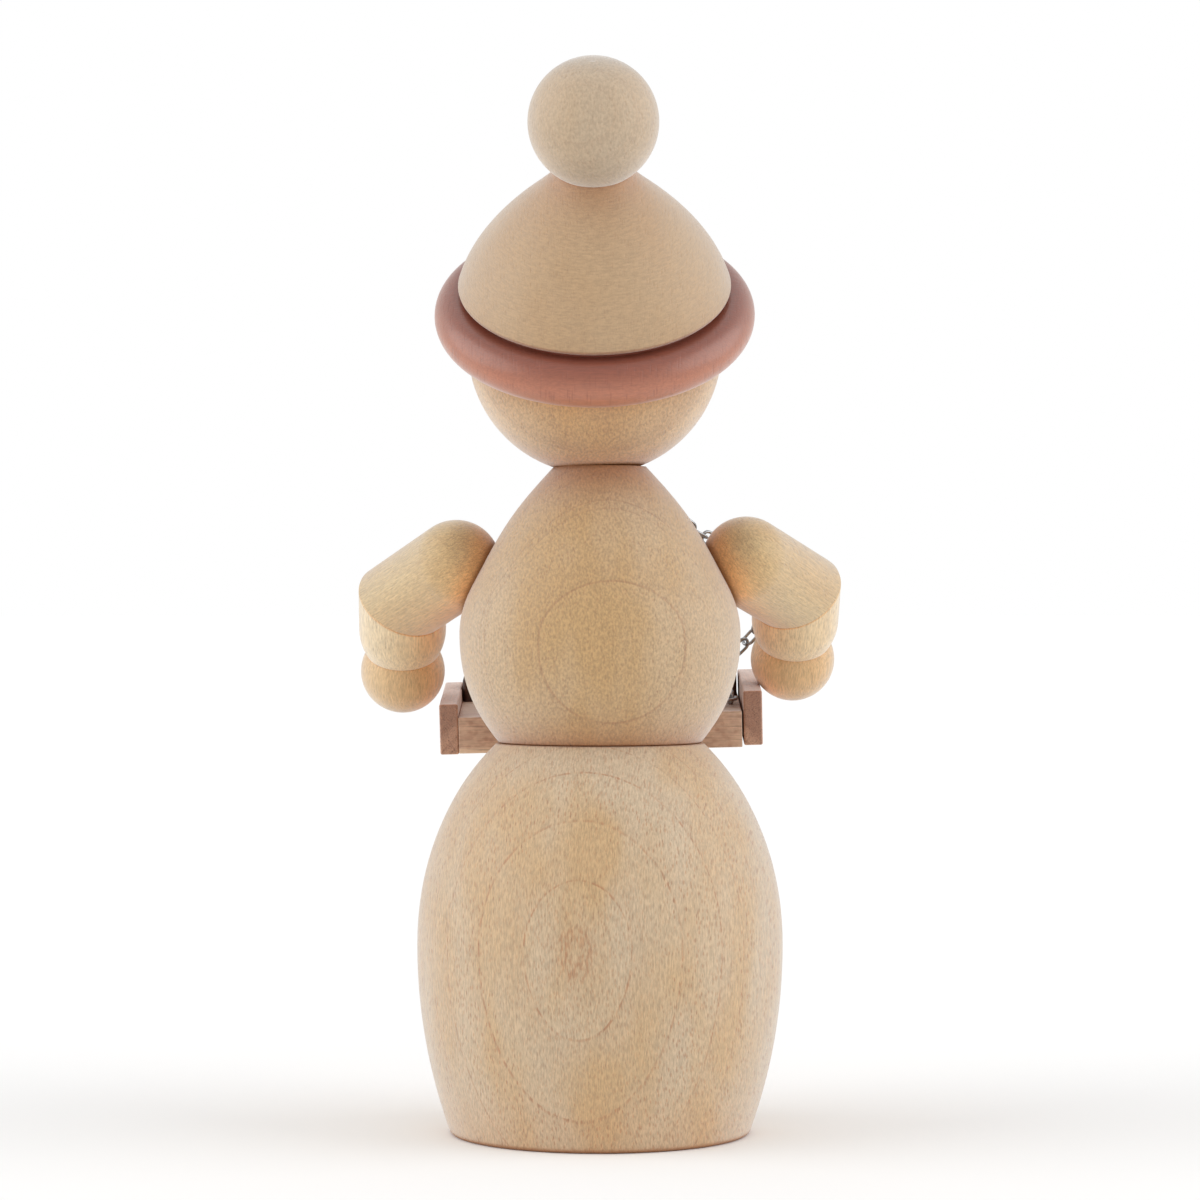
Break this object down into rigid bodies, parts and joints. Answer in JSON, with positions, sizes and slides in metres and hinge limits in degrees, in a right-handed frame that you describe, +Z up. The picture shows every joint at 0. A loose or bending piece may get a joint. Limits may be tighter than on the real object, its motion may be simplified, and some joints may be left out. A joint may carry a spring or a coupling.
{
  "type": "turned wooden snowman figurine",
  "caption": "Turned natural-wood snowman in a bobble hat, its mitred arms holding a small tray with dark blocks and a fine steel chain.",
  "frame": {"origin": "middle of the underside of the base, on the axis that the body was turned about", "axes": "+Z up along the body's turning axis; the figure faces -Y; +X is the figure's own left"},
  "size_m": [0.0587, 0.0579, 0.1247],
  "materials": {
    "body_maple": "oiled natural maple with fine dark flecks",
    "belly_maple": "oiled natural maple, faintly curled",
    "head_maple": "oiled natural maple",
    "crown_maple": "smooth natural maple",
    "pompom_maple": "smooth natural maple",
    "arm_beech": "natural beech",
    "dowel_beech": "raw beech",
    "brim_pearwood": "steamed pear wood with a soft gloss",
    "tray_pearwood": "steamed pear wood",
    "dark_wood": "dark stained wood",
    "black_wood": "black stained wood",
    "chain_steel": "bright fine steel wire"
  },
  "bodies": {
    "root": {"buttons": "black_wood", "chest_pin": "chain_steel", "hat_brim": "brim_pearwood", "hat_crown": "crown_maple", "hat_dowel": "dowel_beech", "hat_pompom": "pompom_maple", "head": "head_maple", "left_elbow_dowel": "dowel_beech", "left_eye": "black_wood", "left_forearm": "arm_beech", "left_hand": "arm_beech", "left_hand_dowel": "dowel_beech", "left_shoulder_dowel": "dowel_beech", "left_upper_arm": "arm_beech", "lower_body": "body_maple", "lower_chain": "chain_steel", "neck_dowel": "dowel_beech", "nose": "brim_pearwood", "pompom_dowel": "dowel_beech", "right_elbow_dowel": "dowel_beech", "right_eye": "black_wood", "right_forearm": "arm_beech", "right_hand": "arm_beech", "right_hand_dowel": "dowel_beech", "right_shoulder_dowel": "dowel_beech", "right_upper_arm": "arm_beech", "sleeve_pin": "chain_steel", "tray_blocks": "dark_wood", "tray_dowel": "dowel_beech", "tray_floor": "tray_pearwood", "tray_front_board": "tray_pearwood", "tray_left_board": "tray_pearwood", "tray_right_board": "tray_pearwood", "upper_body": "belly_maple", "upper_chain": "chain_steel", "waist_dowel": "dowel_beech"}
  },
  "joints": []
}
